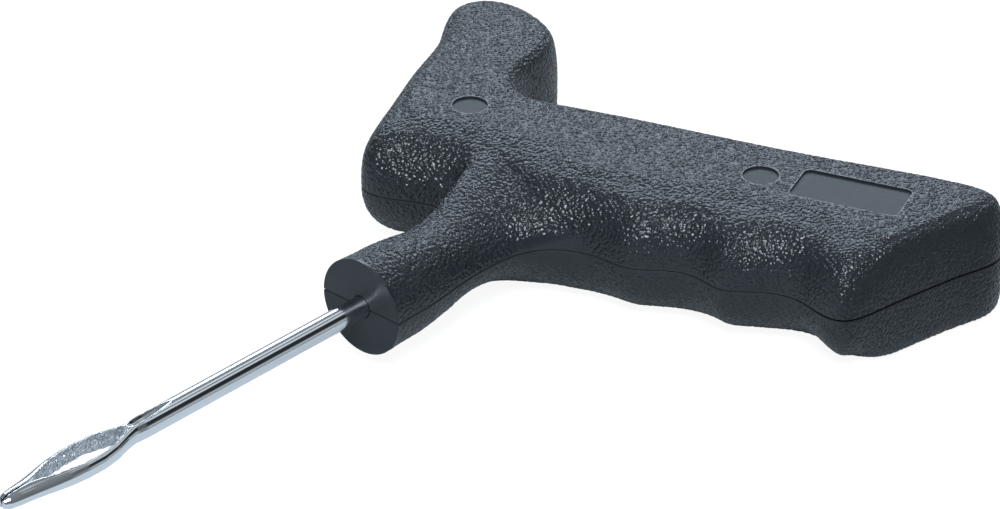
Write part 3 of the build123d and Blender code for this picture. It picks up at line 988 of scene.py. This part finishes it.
def floor_material():
    """Pale floor: seen white by the camera, but a weaker bounce into the object's sides."""
    material = bpy.data.materials.new("floor_pale")
    material.use_nodes = True
    nodes = material.node_tree.nodes
    links = material.node_tree.links
    nodes.clear()
    output = nodes.new("ShaderNodeOutputMaterial")
    path = nodes.new("ShaderNodeLightPath")
    mix = nodes.new("ShaderNodeMixShader")
    seen = nodes.new("ShaderNodeAddShader")
    bright = nodes.new("ShaderNodeBsdfDiffuse")
    glow = nodes.new("ShaderNodeEmission")
    bounce = nodes.new("ShaderNodeBsdfDiffuse")
    bright.inputs["Color"].default_value = (0.22, 0.22, 0.22, 1)
    glow.inputs["Color"].default_value = (1, 1, 1, 1)
    glow.inputs["Strength"].default_value = 0.92
    place = nodes.new("ShaderNodeTexCoord")
    split = nodes.new("ShaderNodeSeparateXYZ")
    links.new(place.outputs["Object"], split.inputs[0])
    dim = mapped(nodes, links, split.outputs["Y"], 0.0, 1.0, *FLOOR_DIMS)
    shade = mixed_colour(nodes, links, dim, FLOOR_BOUNCE, FLOOR_BOUNCE_DIM)
    links.new(shade, bounce.inputs["Color"])
    links.new(bright.outputs[0], seen.inputs[0])
    links.new(glow.outputs[0], seen.inputs[1])
    links.new(path.outputs["Is Camera Ray"], mix.inputs[0])
    links.new(bounce.outputs[0], mix.inputs[1])
    links.new(seen.outputs[0], mix.inputs[2])
    links.new(mix.outputs[0], output.inputs[0])
    return material


def softbox(name, place, target, size, power, colour):
    data = bpy.data.lights.new(name, "AREA")
    data.color = colour
    data.shape = "RECTANGLE"
    data.size, data.size_y = size
    data.energy = power
    obj = bpy.data.objects.new(name, data)
    obj.location = place
    obj.rotation_euler = (Vector(target) - Vector(place)).to_track_quat("-Z", "Y").to_euler()
    bpy.context.scene.collection.objects.link(obj)
    return obj


# Light and dark strips that hang behind the tool and are mirrored along the round shank.
# Each is the angle about the needle's axis, in degrees from overhead, and a strength.
STRIPS = [
    (-180, 0.25), (-24, 0.25), (-22, 0.75), (-20, 0.03), (-15, 0.03), (-13, 0.85), (4, 0.85),
    (7, 0.04), (13, 0.04), (16, 0.80), (30, 0.75), (34, 0.02), (68, 0.03), (76, 0.45), (90, 0.60),
    (180, 0.60),
]


def world_light(strength_low, strength_high):
    """A room that is dim at the horizon, brighter overhead and has strips behind the tool."""
    world = bpy.data.worlds.new("studio")
    bpy.context.scene.world = world
    world.use_nodes = True
    nodes = world.node_tree.nodes
    links = world.node_tree.links
    background = nodes["Background"]
    place = nodes.new("ShaderNodeTexCoord")
    split = nodes.new("ShaderNodeSeparateXYZ")
    links.new(place.outputs["Generated"], split.inputs[0])
    room = mapped(nodes, links, split.outputs["Z"], strength_low, strength_high, 0.35, 0.95)
    angle = nodes.new("ShaderNodeMath")
    angle.operation = "ARCTAN2"
    links.new(split.outputs["Y"], angle.inputs[0])
    links.new(split.outputs["Z"], angle.inputs[1])
    share = mapped(nodes, links, angle.outputs[0], 0.0, 1.0, -math.pi, math.pi)
    ramp = nodes.new("ShaderNodeValToRGB")
    stops = ramp.color_ramp.elements
    while len(stops) < len(STRIPS):
        stops.new(0.5)
    for stop, (degrees, strength) in zip(stops, STRIPS):
        stop.position = (degrees + 180) / 360
        stop.color = (strength, strength, strength, 1)
    links.new(share, ramp.inputs["Fac"])
    behind = mapped(nodes, links, split.outputs["X"], 0.0, 1.0, -0.35, -0.55)
    mix = nodes.new("ShaderNodeMix")
    links.new(behind, mix.inputs["Factor"])
    links.new(room, mix.inputs["A"])
    links.new(ramp.outputs["Color"], mix.inputs["B"])
    links.new(mix.outputs["Result"], background.inputs["Strength"])
    background.inputs["Color"].default_value = (0.86, 0.94, 1.0, 1)


bpy.ops.mesh.primitive_plane_add(size=FLOOR_SIZE, location=(0, 0, -FACE_Z * MM))
floor = bpy.context.object
floor.name = "floor"
floor.data.materials.append(floor_material())


def around(turn, rise, distance):
    """A place at a compass turn and a rise, in degrees, and a distance from the object."""
    turn, rise = math.radians(turn), math.radians(rise)
    flat = distance * math.cos(rise)
    return (flat * math.cos(turn), flat * math.sin(turn), distance * math.sin(rise))


MIDDLE = (-0.03, 0.0, 0.0)
world_light(0.17, 0.25)
BACK_PLACE = around(CAMERA_TURN + 180, 27.5, 1.1)
FRONT_PLACE = around(CAMERA_TURN + 2, 56, 1.1)
softbox("back", BACK_PLACE, MIDDLE, (1.1, 0.34), 5.2, (0.74, 0.86, 1.0))
softbox("front_high", FRONT_PLACE, MIDDLE, (0.34, 0.5), 12.5, (0.84, 0.93, 1.0))

towards_camera = Vector(around(CAMERA_TURN, CAMERA_RISE, 1.0))
camera_data = bpy.data.cameras.new("camera")
camera_data.lens = CAMERA_LENS
camera_data.sensor_width = 36.0
camera_data.clip_start = 0.01
camera = bpy.data.objects.new("camera", camera_data)
camera.location = CAMERA_PLACE
camera.rotation_euler = (-towards_camera).to_track_quat("-Z", "Y").to_euler()
bpy.context.scene.collection.objects.link(camera)
bpy.context.scene.camera = camera
bpy.context.scene.view_settings.view_transform = "Standard"
bpy.context.scene.view_settings.look = "None"
